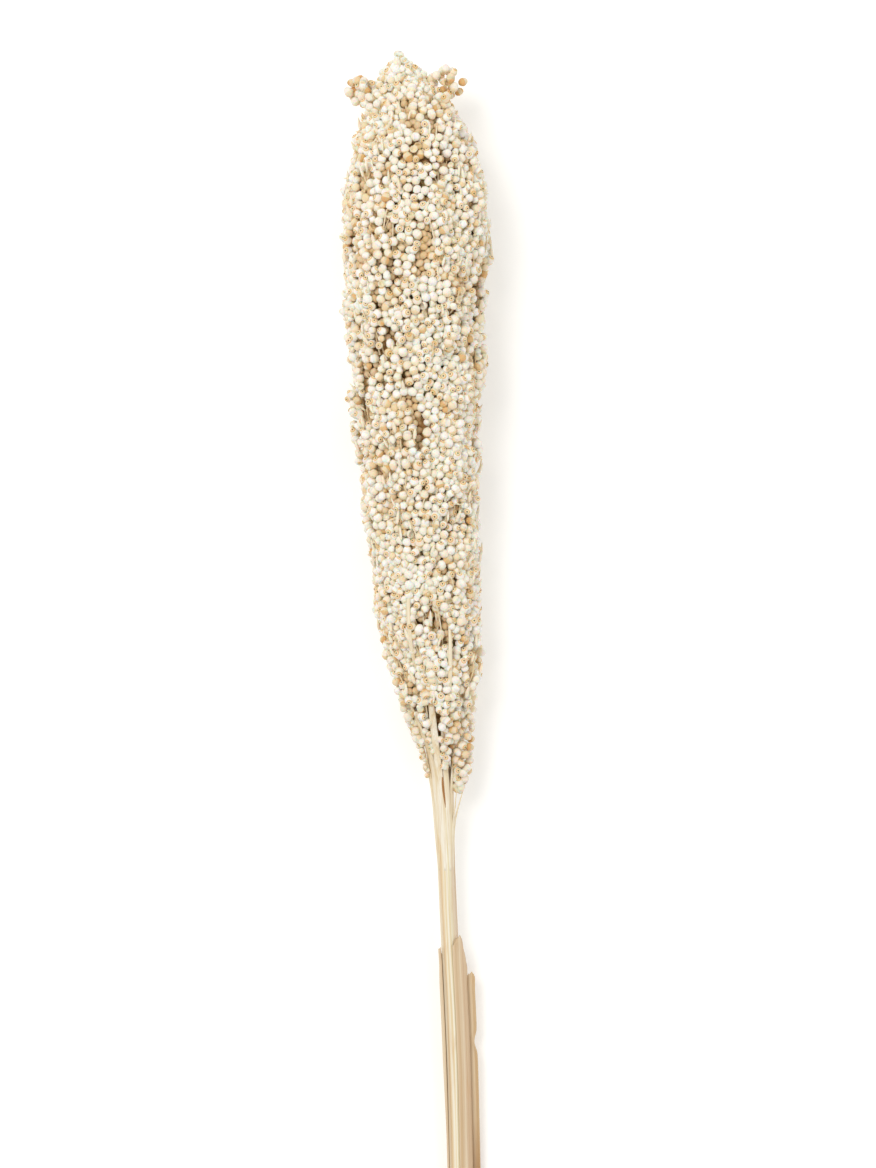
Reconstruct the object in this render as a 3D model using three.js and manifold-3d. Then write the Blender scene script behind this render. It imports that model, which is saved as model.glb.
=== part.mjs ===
// A dried, bleached sorghum seed head on its cut stalk, lying on a table.
// Millimetres, +Z up. The stalk's cut end points to -Y and the head's tip to +Y.
// The origin is the middle of the flat spot under the head, on the table's surface.
import * as THREE from "three";
import { mergeVertices } from "three/addons/utils/BufferGeometryUtils.js";
import Module from "manifold-3d";

// Driving dimensions. "From the tip" is measured along Y, from the head's top grain towards the cut end.
const TOTAL_LENGTH = 500;
const HEAD_LENGTH = 320;
const COVER_LENGTH = 303;
const REST_FROM_TIP = 165;
const REST_SPOT_RADIUS = 7;
const STEM_RADIUS = 3.85;
const AXIS_RADIUS = 3.1;
const AXIS_TIP_RADIUS = 1.2;
const COLLAR_RADIUS = 4.8;
const FLUTE_DEPTH = 0.35;
const FLUTES = 9;
const SHEATH_THICKNESS = 0.7;
const GAP = 0.35;
const TABLE = 0;

// The grains are drawn larger than life, so that they cover the head with few faces.
const GRAIN_SPACING = 7.0;
const GRAIN_RELIEF = 2.9;
const LOOSE_GRAIN_RADIUS = 2.7;
const SEED = 20;

// The middle line: [from the tip, sideways, height above the table].
const MIDDLE_LINE = [
  [0, 0.3, 25.0],
  [35, 2.8, 28.4],
  [75, 3.3, 29.6],
  [115, 1.6, 27.8],
  [155, 0.2, 25.2],
  [190, -0.3, 22.9],
  [225, 0.6, 20.6],
  [260, 1.4, 18.4],
  [290, 2.0, 16.6],
  [325, 2.6, 14.4],
  [370, 2.4, 11.9],
  [430, 2.2, 8.7],
  [TOTAL_LENGTH, 0.4, 5.6],
];

// The outline of the grain-covered part, to the tops of the grains: [from the tip, radius].
const HEAD_OUTLINE = [
  [0, 2.2],
  [5, 5.4],
  [12, 10.0],
  [20, 16.2],
  [28, 22.4],
  [40, 27.6],
  [60, 30.2],
  [88, 31.0],
  [130, 28.8],
  [170, 26.8],
  [215, 24.0],
  [252, 21.0],
  [276, 17.6],
  [292, 13.0],
  [COVER_LENGTH, 8.0],
];

const up = new THREE.Vector3(0, 0, 1);
const sideways = new THREE.Vector3(1, 0, 0);
const wasm = await Module();
wasm.setup();

// Seeded random numbers from 0 to 1, so that the head grows the same way each time.
function randomNumbers(seed) {
  let state = seed >>> 0;
  return () => {
    state = (state + 0x6d2b79f5) >>> 0;
    let t = state;
    t = Math.imul(t ^ (t >>> 15), t | 1);
    t ^= t + Math.imul(t ^ (t >>> 7), t | 61);
    return ((t ^ (t >>> 14)) >>> 0) / 4294967296;
  };
}
const random = randomNumbers(SEED);
const spread = (amount) => (random() * 2 - 1) * amount;

// A smooth curve through [position, value, ...] rows, read at any position.
function smoothRows(rows, at, column) {
  let i = 0;
  while (i < rows.length - 2 && rows[i + 1][0] < at) i++;
  const before = rows[Math.max(i - 1, 0)];
  const [a, b] = [rows[i], rows[i + 1]];
  const after = rows[Math.min(i + 2, rows.length - 1)];
  const span = b[0] - a[0];
  const share = THREE.MathUtils.clamp((at - a[0]) / span, 0, 1);
  const slopeA = ((b[column] - before[column]) / (b[0] - before[0])) * span;
  const slopeB = ((after[column] - a[column]) / (after[0] - a[0])) * span;
  const square = share * share;
  const cube = square * share;
  return (
    (2 * cube - 3 * square + 1) * a[column] +
    (cube - 2 * square + share) * slopeA +
    (-2 * cube + 3 * square) * b[column] +
    (cube - square) * slopeB
  );
}

const headRadius = (fromTip) => Math.max(smoothRows(HEAD_OUTLINE, fromTip, 1), 0.5);

function middleAt(fromTip) {
  const x = smoothRows(MIDDLE_LINE, fromTip, 1);
  const z = smoothRows(MIDDLE_LINE, fromTip, 2);
  return new THREE.Vector3(x, REST_FROM_TIP - fromTip, z);
}

// A point at an angle round the middle line: 0 is +X, and a quarter turn is straight up.
function around(fromTip, angle, radius) {
  return middleAt(fromTip)
    .addScaledVector(sideways, Math.cos(angle) * radius)
    .addScaledVector(up, Math.sin(angle) * radius);
}

// A closed geometry from points and triangles.
function geometryOf(points, triangles) {
  const geometry = new THREE.BufferGeometry().setFromPoints(points);
  geometry.setIndex(triangles);
  return geometry;
}

function solidOf(geometry) {
  const bare = geometry.clone();
  bare.deleteAttribute("normal");
  bare.deleteAttribute("uv");
  const merged = mergeVertices(bare, 1e-4);
  return new wasm.Manifold(
    new wasm.Mesh({
      numProp: 3,
      vertProperties: merged.attributes.position.array,
      triVerts: new Uint32Array(merged.index.array),
    }),
  );
}

function geometryFrom(solid) {
  const mesh = solid.getMesh();
  const geometry = new THREE.BufferGeometry();
  geometry.setAttribute("position", new THREE.BufferAttribute(mesh.vertProperties, 3));
  geometry.setIndex(new THREE.BufferAttribute(mesh.triVerts, 1));
  return geometry;
}

// The side walls of a tube through rings that all have the same number of points.
function tubeWalls(rings) {
  const count = rings[0].length;
  const triangles = [];
  for (let r = 0; r + 1 < rings.length; r++) {
    for (let i = 0; i < count; i++) {
      const [a, b] = [r * count + i, r * count + ((i + 1) % count)];
      triangles.push(a, b, b + count, a, b + count, a + count);
    }
  }
  return triangles;
}

// A closed tube, with each end fanned from its middle.
function tubeOf(rings) {
  const count = rings[0].length;
  const points = rings.flat();
  const triangles = tubeWalls(rings);
  for (const [r, flip] of [[0, true], [rings.length - 1, false]]) {
    const middle = points.length;
    const centre = rings[r].reduce((sum, p) => sum.add(p), new THREE.Vector3());
    points.push(centre.divideScalar(count));
    for (let i = 0; i < count; i++) {
      const [a, b] = [r * count + i, r * count + ((i + 1) % count)];
      triangles.push(...(flip ? [middle, b, a] : [middle, a, b]));
    }
  }
  return geometryOf(points, triangles);
}

// A closed tube whose section is a bent strip, so each end is a row of quads between the strip's two faces.
function stripOf(rings, steps) {
  const count = rings[0].length;
  const triangles = tubeWalls(rings);
  for (const [r, flip] of [[0, true], [rings.length - 1, false]]) {
    for (let i = 0; i < steps; i++) {
      const [a, b] = [r * count + i, r * count + i + 1];
      const [c, d] = [r * count + count - 2 - i, r * count + count - 1 - i];
      triangles.push(...(flip ? [a, c, b, a, d, c] : [a, b, c, a, c, d]));
    }
  }
  return geometryOf(rings.flat(), triangles);
}

// The stem

// Below the head it has one thickness. It narrows at the collar and thins evenly from there to its tip.
const stemRadius = (fromTip) => {
  const axis = THREE.MathUtils.mapLinear(fromTip, 40, HEAD_LENGTH, AXIS_TIP_RADIUS, AXIS_RADIUS);
  const atCollar = THREE.MathUtils.smoothstep(fromTip, HEAD_LENGTH + 4, HEAD_LENGTH + 22);
  return Math.min(axis, AXIS_RADIUS) + (STEM_RADIUS - AXIS_RADIUS) * atCollar;
};

// The stalk as rings of points, with its flutes. A bare one, a little wider, cuts the socket that it fills.
function stalkRings(stations, sides, extra, fluted) {
  return stations.map((fromTip) =>
    Array.from({ length: sides }, (_, i) => {
      const angle = -(i / sides) * Math.PI * 2;
      const flute = fluted ? FLUTE_DEPTH * (Math.cos(FLUTES * angle) - 1) * 0.5 : 0;
      return around(fromTip, angle, stemRadius(fromTip) + flute + extra);
    }),
  );
}

const AXIS_START = 40;
const STEM_STATIONS = [TOTAL_LENGTH, 480, 455, 430, 405, 380, 360, 345, 338, 332, 325, 310, 290, 262];
const AXIS_STATIONS = [230, 195, 160, 120, 80, AXIS_START];

function stemGeometry() {
  return tubeOf(stalkRings([...STEM_STATIONS, ...AXIS_STATIONS], FLUTES * 2, 0, true));
}

function socketSolid() {
  const inHead = STEM_STATIONS.filter((fromTip) => fromTip < HEAD_LENGTH + 30);
  const stations = [...inHead, ...AXIS_STATIONS.slice(0, -1), AXIS_START - 2];
  return solidOf(tubeOf(stalkRings(stations, 8, 2 * GAP, false)));
}

// The seed head

// Branch ends swell the head's surface in long lobes, laid out by the golden angle.
const LOBES = Array.from({ length: 46 }, (_, i) => ({
  fromTip: 8 + (i / 46) * (COVER_LENGTH - 20) + spread(5),
  angle: i * 2.39996 + spread(0.3),
  height: 1.1 + random() * 2.1,
  length: 12 + random() * 11,
  width: 6 + random() * 3,
}));

function lobeHeight(fromTip, angle) {
  const radius = headRadius(fromTip);
  let height = 0;
  for (const lobe of LOBES) {
    const along = (fromTip - lobe.fromTip) / lobe.length;
    let turn = (angle - lobe.angle) % (Math.PI * 2);
    if (turn > Math.PI) turn -= Math.PI * 2;
    if (turn < -Math.PI) turn += Math.PI * 2;
    const across = (turn * radius) / lobe.width;
    height = Math.max(height, lobe.height * Math.exp(-along * along - across * across));
  }
  return height;
}

// One grain for each point: rings of them from the tip to the base, with as many in a ring as fit round it.
function grainRings() {
  const rows = Math.round(COVER_LENGTH / (GRAIN_SPACING * 0.86));
  const rings = [[{ fromTip: 0, angle: 0, radius: 0 }]];
  for (let row = 1; row < rows; row++) {
    const fromTip = (row / rows) * COVER_LENGTH;
    const count = Math.max(5, Math.round((2 * Math.PI * (headRadius(fromTip) - 1)) / GRAIN_SPACING));
    const turn = random() * Math.PI * 2;
    rings.push(
      Array.from({ length: count }, (_, i) => {
        const angle = turn + ((i + spread(0.2)) / count) * Math.PI * 2;
        const at = fromTip + spread(1.1);
        return { fromTip: at, angle, radius: headRadius(at) - 2.3 + lobeHeight(at, angle) + spread(0.5) };
      }),
    );
  }
  rings.push([{ fromTip: COVER_LENGTH + 1, angle: 0, radius: 0 }]);
  return rings;
}

// Joins two rings of grains, with different counts, by a strip of triangles.
function joinRings(ringA, ringB, firstA, firstB, triangles) {
  const turnOf = (ring, i) => ring[i % ring.length].angle + Math.floor(i / ring.length) * Math.PI * 2;
  if (ringA.length === 1 || ringB.length === 1) {
    const fan = ringA.length === 1 ? ringB : ringA;
    const [centre, first] = ringA.length === 1 ? [firstA, firstB] : [firstB, firstA];
    for (let i = 0; i < fan.length; i++) {
      const [a, b] = [first + i, first + ((i + 1) % fan.length)];
      triangles.push(ringA.length === 1 ? [centre, b, a] : [centre, a, b]);
    }
    return;
  }
  let start = 0;
  const lead = ringA[0].angle;
  const apart = (i) => Math.abs(((turnOf(ringB, i) - lead + Math.PI * 9) % (Math.PI * 2)) - Math.PI);
  for (let i = 1; i < ringB.length; i++) if (apart(i) < apart(start)) start = i;
  let [a, b] = [0, 0];
  const turns = Math.round((turnOf(ringB, start) - lead) / (Math.PI * 2)) * Math.PI * 2;
  while (a < ringA.length || b < ringB.length) {
    const nextA = turnOf(ringA, a + 1);
    const nextB = turnOf(ringB, start + b + 1) - turns;
    const [here, there] = [firstA + (a % ringA.length), firstB + ((start + b) % ringB.length)];
    if (b >= ringB.length || (a < ringA.length && nextA < nextB)) {
      triangles.push([there, here, firstA + ((a + 1) % ringA.length)]);
      a++;
    } else {
      triangles.push([there, here, firstB + ((start + b + 1) % ringB.length)]);
      b++;
    }
  }
}

// The covered head: each grain is a peak, and each place where three grains meet is a dip between them.
function grainCover() {
  const rings = grainRings();
  const grains = rings.flat();
  const starts = [];
  rings.reduce((first, ring) => (starts.push(first), first + ring.length), 0);
  const cells = [];
  for (let r = 0; r + 1 < rings.length; r++) {
    joinRings(rings[r], rings[r + 1], starts[r], starts[r + 1], cells);
  }
  const peaks = grains.map((g) => around(g.fromTip, g.angle, g.radius));
  const dips = cells.map((cell) => {
    const centre = new THREE.Vector3();
    for (const i of cell) centre.addScaledVector(peaks[i], 1 / 3);
    const axis = middleAt(REST_FROM_TIP - centre.y);
    const inwards = axis.sub(centre);
    return centre.addScaledVector(inwards, Math.min(GRAIN_RELIEF / inwards.length(), 0.6));
  });
  const edges = new Map();
  cells.forEach((cell, c) => {
    for (let k = 0; k < 3; k++) edges.set(cell[k] + "_" + cell[(k + 1) % 3], c);
  });
  const triangles = [];
  for (const [key, c] of edges) {
    const [from, to] = key.split("_").map(Number);
    const other = edges.get(to + "_" + from);
    triangles.push(from, peaks.length + other, peaks.length + c);
  }
  return solidOf(geometryOf([...peaks, ...dips], triangles));
}

// A ball with few faces, turned at random, for a grain that stands clear of the cover.
function looseGrain(place, radius = LOOSE_GRAIN_RADIUS) {
  const ball = new THREE.IcosahedronGeometry(radius, 0);
  ball.rotateX(random() * Math.PI).rotateY(random() * Math.PI);
  return solidOf(ball.translate(place.x, place.y, place.z));
}

// A thin branch through points of the form [from the tip, angle, radius], tapering to its end.
function branch(path, thick, thin, sides) {
  const curve = new THREE.CatmullRomCurve3(path.map(([t, angle, radius]) => around(t, angle, radius)));
  const steps = path.length;
  const rings = Array.from({ length: steps + 1 }, (_, r) => {
    const share = r / steps;
    const centre = curve.getPoint(share);
    const along = curve.getTangent(share);
    const across = new THREE.Vector3().crossVectors(along, up).normalize();
    const out = new THREE.Vector3().crossVectors(across, along);
    const radius = thick + (thin - thick) * share;
    return Array.from({ length: sides }, (_, i) => {
      const angle = (i / sides) * Math.PI * 2;
      return centre
        .clone()
        .addScaledVector(across, Math.cos(angle) * radius)
        .addScaledVector(out, -Math.sin(angle) * radius);
    });
  });
  return solidOf(tubeOf(rings));
}

// The collar is the swollen ring at the head's foot, from which the lowest branches grow.
function collar() {
  const profile = [[12, 0.84], [8, 1], [0, 1], [-6, 0.84]];
  const rings = profile.map(([below, share]) =>
    Array.from({ length: 8 }, (_, i) =>
      around(HEAD_LENGTH + below, -(i / 8) * Math.PI * 2, COLLAR_RADIUS * share),
    ),
  );
  return solidOf(tubeOf(rings));
}

// The lowest branches climb free of the stalk from the collar to the covered part.
function lowerBranches() {
  const count = 10;
  const solids = [collar()];
  for (let i = 0; i < count; i++) {
    const angle = (i / count) * Math.PI * 2 + spread(0.16);
    const root = HEAD_LENGTH + 3 + spread(2);
    const reach = 270 + spread(10);
    const middle = (root + reach) / 2;
    const path = [
      [root, angle, COLLAR_RADIUS - 1.1],
      [root - 13, angle + spread(0.1), COLLAR_RADIUS + 1.6 + spread(0.7)],
      [middle, angle + spread(0.15), headRadius(middle) - 1.4],
      [reach, angle + spread(0.15), headRadius(reach) - 0.9],
    ];
    solids.push(branch(path, 1.4, 0.85, 4));
  }
  return solids;
}

// Bunches of grains that stand out of the outline. Each is a rounded heap of grains round a crowded core:
// [from the tip, angle in degrees, distance from the middle line, half its length, half its width, grains].
const BUNCHES = [
  [17, 180, 16.5, 7, 6, 7],
  [15, 2, 18, 7.5, 7.5, 8],
  [26, 42, 21, 6, 5, 4],
  [62, 196, 29, 7, 4.5, 3],
  [150, 172, 27, 7, 4.5, 3],
  [236, 150, 22, 7, 4.5, 3],
  [262, 350, 19, 7, 4.5, 3],
  [293, 8, 12.5, 8, 5.5, 4],
  [306, 2, 9.5, 9, 5.5, 6],
  [297, 186, 9.5, 10, 4, 4],
];

function bunchSolids([fromTip, degrees, distance, halfLength, halfWidth, count]) {
  const angle = THREE.MathUtils.degToRad(degrees);
  const core = looseGrain(around(fromTip, angle, distance), halfWidth - 1.2);
  const grains = Array.from({ length: count }, (_, i) => {
    const rise = 1 - (2 * (i + 0.5)) / count;
    const ring = Math.sqrt(1 - rise * rise) * (halfWidth - LOOSE_GRAIN_RADIUS);
    const turn = i * 2.39996 + spread(0.3);
    const at = fromTip - rise * (halfLength - LOOSE_GRAIN_RADIUS);
    const sideways = (Math.cos(turn) * ring) / distance;
    return looseGrain(around(at, angle + sideways, distance + Math.sin(turn) * ring));
  });
  return [core, ...grains];
}

// Grains that sit alone on the head's top, to draw its pointed tip.
function tipGrains() {
  return Array.from({ length: 7 }, (_, i) => {
    const fromTip = 2.6 + i * 2.1;
    return looseGrain(around(fromTip, i * 2.4, Math.max(headRadius(fromTip) - 2.2, 0)));
  });
}

// The flat spot that the head lies on: pressed grains, flush with the table.
function restSpot() {
  const spot = new THREE.CylinderGeometry(REST_SPOT_RADIUS + 2, REST_SPOT_RADIUS, 8, 6);
  return solidOf(spot.rotateX(Math.PI / 2).translate(0, 0, TABLE + 4));
}

function largestPiece(solid) {
  return solid.decompose().reduce((a, b) => (a.volume() > b.volume() ? a : b));
}

function seedHeadGeometry() {
  let head = grainCover();
  const extras = [...lowerBranches(), ...BUNCHES.flatMap(bunchSolids), ...tipGrains(), restSpot()];
  for (const extra of extras) head = head.add(extra);
  head = head.subtract(socketSolid());
  const below = solidOf(new THREE.BoxGeometry(200, 900, 60).translate(0, 0, TABLE - 30));
  head = largestPiece(head.subtract(below));
  return geometryFrom(head);
}

// The leaf sheaths

// A strip of leaf base round the stalk, from the cut end up to a torn top.
// The top is [share of the way round, from the tip], and the lift is how far it stands off at that share.
function sheathGeometry({ first, last, top, lift, nick, rows, columns, radius }) {
  const rings = rows.map((rise) => {
    const outer = [];
    const inner = [];
    for (let i = 0; i <= columns; i++) {
      const share = i / columns;
      const fromTip = TOTAL_LENGTH - (TOTAL_LENGTH - smoothRows(top, share, 1)) * rise;
      const nicked = nick.degrees * Math.exp(-(((fromTip - nick.fromTip) / 5) ** 2));
      const angle = THREE.MathUtils.degToRad(first + (last - nicked - first) * share);
      const out = radius + Math.max(smoothRows(lift, share, 1), 0);
      outer.push(around(fromTip, angle, out + SHEATH_THICKNESS));
      inner.unshift(around(fromTip, angle, out));
    }
    return [...outer, ...inner].reverse();
  });
  return stripOf(rings, columns);
}

// The inner sheath starts at the stalk's left edge, wraps its back and comes round the right to the front,
// where its torn top ends in a point. Angles are in degrees.
function leafSheathGeometry() {
  return sheathGeometry({
    first: 160,
    last: 436,
    top: [[0, 387], [0.3, 391], [0.7, 399], [0.84, 383], [1, 387]],
    lift: [[0, 0.7], [0.15, 0.1], [0.55, 0.1], [0.72, 1.5], [0.85, 0.7], [1, 0.2]],
    nick: { fromTip: 440, degrees: 0 },
    rows: [0, 0.2, 0.4, 0.6, 0.8, 1],
    columns: 18,
    radius: STEM_RADIUS + GAP,
  });
}

// The outer strip lies behind it on the right, stands off at its free edge, and has a rounded top and a nick.
function outerSheathGeometry() {
  return sheathGeometry({
    first: 300,
    last: 357,
    top: [[0, 408], [0.6, 401], [1, 407]],
    lift: [[0, 0], [0.5, 0.9], [1, 2.9]],
    nick: { fromTip: 429, degrees: 7 },
    rows: [0, 0.25, 0.5, 0.66, 0.72, 0.79, 0.9, 1],
    columns: 6,
    radius: STEM_RADIUS + 2 * GAP + SHEATH_THICKNESS + 0.1,
  });
}

// Materials and the assembly

const straw = new THREE.MeshStandardMaterial({ color: 0xdcc79c, roughness: 0.6, metalness: 0 });
const bleachedGrain = new THREE.MeshStandardMaterial({ color: 0xefe6d3, roughness: 0.7, metalness: 0 });
const dryLeaf = new THREE.MeshStandardMaterial({ color: 0xcdb493, roughness: 0.75, metalness: 0 });

function piece(name, geometry, material) {
  const mesh = new THREE.Mesh(geometry, material);
  mesh.name = name;
  return mesh;
}

const sorghum = new THREE.Group();
sorghum.add(piece("seed_head", seedHeadGeometry(), bleachedGrain));
sorghum.add(piece("stem", stemGeometry(), straw));
sorghum.add(piece("leaf_sheath", leafSheathGeometry(), dryLeaf));
sorghum.add(piece("outer_sheath", outerSheathGeometry(), dryLeaf));

export default sorghum;
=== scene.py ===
# %% [markdown]
# # A dried sorghum seed head
#
# Sorghum is a tall grass. Its head is a dense spray of short branches, each one crowded with round
# grains. This one was dried and bleached for decoration, cut with a length of straw stalk, and laid
# on a table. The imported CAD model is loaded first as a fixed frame. Every piece below is built
# round it, in metres.

# %% Load the frame
import math

import bmesh
import bpy
from mathutils import Matrix, Vector, kdtree, noise


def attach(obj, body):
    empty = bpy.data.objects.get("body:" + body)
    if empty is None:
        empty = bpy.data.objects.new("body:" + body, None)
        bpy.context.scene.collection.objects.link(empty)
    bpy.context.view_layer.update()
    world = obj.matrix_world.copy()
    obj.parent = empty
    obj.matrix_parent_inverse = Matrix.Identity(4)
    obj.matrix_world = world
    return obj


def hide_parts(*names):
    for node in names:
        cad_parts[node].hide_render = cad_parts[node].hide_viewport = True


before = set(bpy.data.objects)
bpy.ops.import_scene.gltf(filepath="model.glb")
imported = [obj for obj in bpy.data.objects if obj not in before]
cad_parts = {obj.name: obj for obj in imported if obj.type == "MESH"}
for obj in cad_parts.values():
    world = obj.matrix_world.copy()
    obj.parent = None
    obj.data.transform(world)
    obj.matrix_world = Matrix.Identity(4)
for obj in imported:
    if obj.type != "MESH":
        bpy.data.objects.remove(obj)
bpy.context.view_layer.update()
MM = 0.001


print("CAD nodes:", sorted(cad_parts))

# %% [markdown]
# ## The middle line
#
# A stalk is never straight. The same few points that the CAD model uses give the line that the
# stalk and the head follow, and a smooth curve through them can be read at any distance from the
# tip. All the sizes here are in millimetres, and one function turns a place on the plant into a
# point in Blender's metres. The tables hold (from the tip, x, z) and (from the tip, radius).

# %% Middle line and outline
TOTAL_LENGTH = 500
HEAD_LENGTH = 320
COVER_LENGTH = 303
REST_FROM_TIP = 165
MIDDLE_LINE = [
    (0, 0.3, 25.0), (35, 2.8, 28.4), (75, 3.3, 29.6), (115, 1.6, 27.8), (155, 0.2, 25.2),
    (190, -0.3, 22.9), (225, 0.6, 20.6), (260, 1.4, 18.4), (290, 2.0, 16.6), (325, 2.6, 14.4),
    (370, 2.4, 11.9), (430, 2.2, 8.7), (TOTAL_LENGTH, 0.4, 5.6),
]
HEAD_OUTLINE = [
    (0, 2.2), (5, 5.4), (12, 10.0), (20, 16.2), (28, 22.4), (40, 27.6), (60, 30.2), (88, 31.0),
    (130, 28.8), (170, 26.8), (215, 24.0), (252, 21.0), (276, 17.6), (292, 13.0),
    (COVER_LENGTH, 8.0),
]


def smooth_rows(rows, at, column):
    i = 0
    while i < len(rows) - 2 and rows[i + 1][0] < at:
        i += 1
    before, a, b = rows[max(i - 1, 0)], rows[i], rows[i + 1]
    after = rows[min(i + 2, len(rows) - 1)]
    span = b[0] - a[0]
    share = min(max((at - a[0]) / span, 0), 1)
    slope_a = (b[column] - before[column]) / (b[0] - before[0]) * span
    slope_b = (after[column] - a[column]) / (after[0] - a[0]) * span
    square, cube = share**2, share**3
    return (
        (2 * cube - 3 * square + 1) * a[column]
        + (cube - 2 * square + share) * slope_a
        + (3 * square - 2 * cube) * b[column]
        + (cube - square) * slope_b
    )


def stations_at(stations, at):
    return [smooth_rows(stations, at, column) for column in range(1, len(stations[0]))]


def head_radius(from_tip):
    return max(smooth_rows(HEAD_OUTLINE, from_tip, 1), 0.5)


def middle_at(from_tip):
    x, z = stations_at(MIDDLE_LINE, from_tip)
    return Vector((x, REST_FROM_TIP - from_tip, z)) * MM


def outwards(angle):
    return Vector((math.cos(angle), 0, math.sin(angle)))


def around(from_tip, angle, radius):
    return middle_at(from_tip) + outwards(angle) * radius * MM


def around_mm(from_tip, angle, radius):
    return around(from_tip, angle, radius) / MM


widest_radius = max(radius for _, radius in HEAD_OUTLINE)
print("Head width at its widest, mm:", round(2 * widest_radius, 1))

# %% [markdown]
# ## Seeded chance
#
# Nothing on a plant repeats exactly, so sizes, turns and colours are drawn at random. The draws
# come from one small generator with a fixed seed, so the head grows the same way in every run. It
# is the one that shaped the CAD head, and its first draws place the same swellings, so that the
# fine grains lie where the CAD relief is. Each swelling is (from the tip, angle, height, length,
# width).


# %% Seeded chance and swellings
class Chance:
    def __init__(self, seed):
        self.state = seed

    def share(self):
        self.state = (self.state + 0x6D2B79F5) & 0xFFFFFFFF
        t = self.state
        t = ((t ^ (t >> 15)) * (t | 1)) & 0xFFFFFFFF
        t ^= (t + (((t ^ (t >> 7)) * (t | 61)) & 0xFFFFFFFF)) & 0xFFFFFFFF
        return ((t ^ (t >> 14)) & 0xFFFFFFFF) / 4294967296

    def spread(self, amount):
        return (self.share() * 2 - 1) * amount

    def between(self, low, high):
        return low + (high - low) * self.share()

    def direction(self):
        z = self.spread(1)
        turn = self.between(0, math.tau)
        flat = math.sqrt(max(1 - z * z, 0))
        return Vector((flat * math.cos(turn), flat * math.sin(turn), z))


chance = Chance(20)
GOLDEN_ANGLE = 2.39996
LOBE_COUNT = 46
LOBES = [
    (
        8 + i / LOBE_COUNT * (COVER_LENGTH - 20) + chance.spread(5),
        i * GOLDEN_ANGLE + chance.spread(0.3),
        1.1 + chance.share() * 2.1,
        12 + chance.share() * 11,
        6 + chance.share() * 3,
    )
    for i in range(LOBE_COUNT)
]


def lobe_height(from_tip, angle):
    radius = head_radius(from_tip)
    height = 0
    for lobe_from_tip, lobe_angle, top, length, width in LOBES:
        along = (from_tip - lobe_from_tip) / length
        if abs(along) < 3:
            turn = (angle - lobe_angle + math.pi) % math.tau - math.pi
            across = turn * radius / width
            height = max(height, top * math.exp(-along * along - across * across))
    return height


print("Swellings on the head:", len(LOBES))

# %% [markdown]
# ## The camera
#
# The camera looks straight down on the table through a long lens, as one would photograph a
# specimen. It is turned by three degrees, so that the stalk leans a little in the picture.

# %% Camera
PHOTO_WIDTH = 876
PHOTO_HEIGHT = 1168
MM_PER_PIXEL = 0.43
TIP_PIXEL = (398, 50)
LEAN = math.radians(2.96)
CAMERA_DISTANCE = 2400
HEAD_MIDDLE_HEIGHT = 27
SENSOR_WIDTH = 36

picture_right = Vector((math.cos(LEAN), -math.sin(LEAN), 0))
picture_up = Vector((math.sin(LEAN), math.cos(LEAN), 0))
right_of_tip = (PHOTO_WIDTH / 2 - TIP_PIXEL[0]) * MM_PER_PIXEL
below_tip = (PHOTO_HEIGHT / 2 - TIP_PIXEL[1]) * MM_PER_PIXEL
aim = Vector((0, REST_FROM_TIP, 0)) + picture_right * right_of_tip - picture_up * below_tip


def new_object(name, data):
    made = bpy.data.objects.new(name, data)
    bpy.context.collection.objects.link(made)
    return made


camera = new_object("camera", bpy.data.cameras.new("camera"))
camera.location = (aim.x * MM, aim.y * MM, (CAMERA_DISTANCE + HEAD_MIDDLE_HEIGHT) * MM)
camera.rotation_euler = (0, 0, -LEAN)
camera.data.sensor_width = SENSOR_WIDTH
camera.data.lens = SENSOR_WIDTH * CAMERA_DISTANCE / (PHOTO_HEIGHT * MM_PER_PIXEL)
camera.data.clip_end = 20
bpy.context.scene.camera = camera
print("Lens in mm:", round(camera.data.lens, 1))

# %% [markdown]
# ## Colours and nodes
#
# Colours are given as the hex values of a screen, and one function turns them into Blender's linear values.
# Another adds a shader node, sets it up and links it. With five more, for a ramp, a mix, a cloudy pattern, a
# change of range and a bump, each material reads as a recipe.


# %% Colour and node helpers
def colour(hex_value):
    parts = [int(hex_value[i : i + 2], 16) / 255 for i in (1, 3, 5)]
    return [c / 12.92 if c <= 0.04045 else ((c + 0.055) / 1.055) ** 2.4 for c in parts] + [1]


def add_node(tree, kind, inputs=None, **settings):
    node = tree.nodes.new("ShaderNode" + kind)
    for name, value in settings.items():
        setattr(node, name, value)
    for name, value in (inputs or {}).items():
        if isinstance(value, bpy.types.NodeSocket):
            tree.links.new(value, node.inputs[name])
        else:
            node.inputs[name].default_value = value
    return node


def new_material(name, **constants):
    material = bpy.data.materials.new(name)
    material.use_nodes = True
    shader = material.node_tree.nodes["Principled BSDF"]
    for key, value in constants.items():
        shader.inputs[key.replace("_", " ")].default_value = value
    return material, material.node_tree, shader


def ramp(tree, value, stops):
    node = add_node(tree, "ValToRGB", {"Fac": value})
    elements = node.color_ramp.elements
    while len(elements) < len(stops):
        elements.new(0.5)
    for element, (position, hex_value) in zip(elements, stops):
        element.position = position
        element.color = colour(hex_value)
    return node.outputs["Color"]


def mix(tree, share, first, second, blend="MIX"):
    inputs = {"Fac": share, "Color1": first, "Color2": second}
    return add_node(tree, "MixRGB", inputs, blend_type=blend).outputs["Color"]


def cloudy(tree, place, size, detail):
    inputs = {"Vector": place, "Scale": 1 / size, "Detail": detail}
    return add_node(tree, "TexNoise", inputs).outputs["Fac"]


def remap(tree, value, low, high, to_low, to_high):
    inputs = {"Value": value, "From Min": low, "From Max": high, "To Min": to_low, "To Max": to_high}
    return add_node(tree, "MapRange", inputs).outputs["Result"]


def add_bump(tree, shader, height, strength, distance):
    bump = add_node(tree, "Bump", {"Height": height, "Strength": strength, "Distance": distance})
    tree.links.new(bump.outputs["Normal"], shader.inputs["Normal"])


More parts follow.
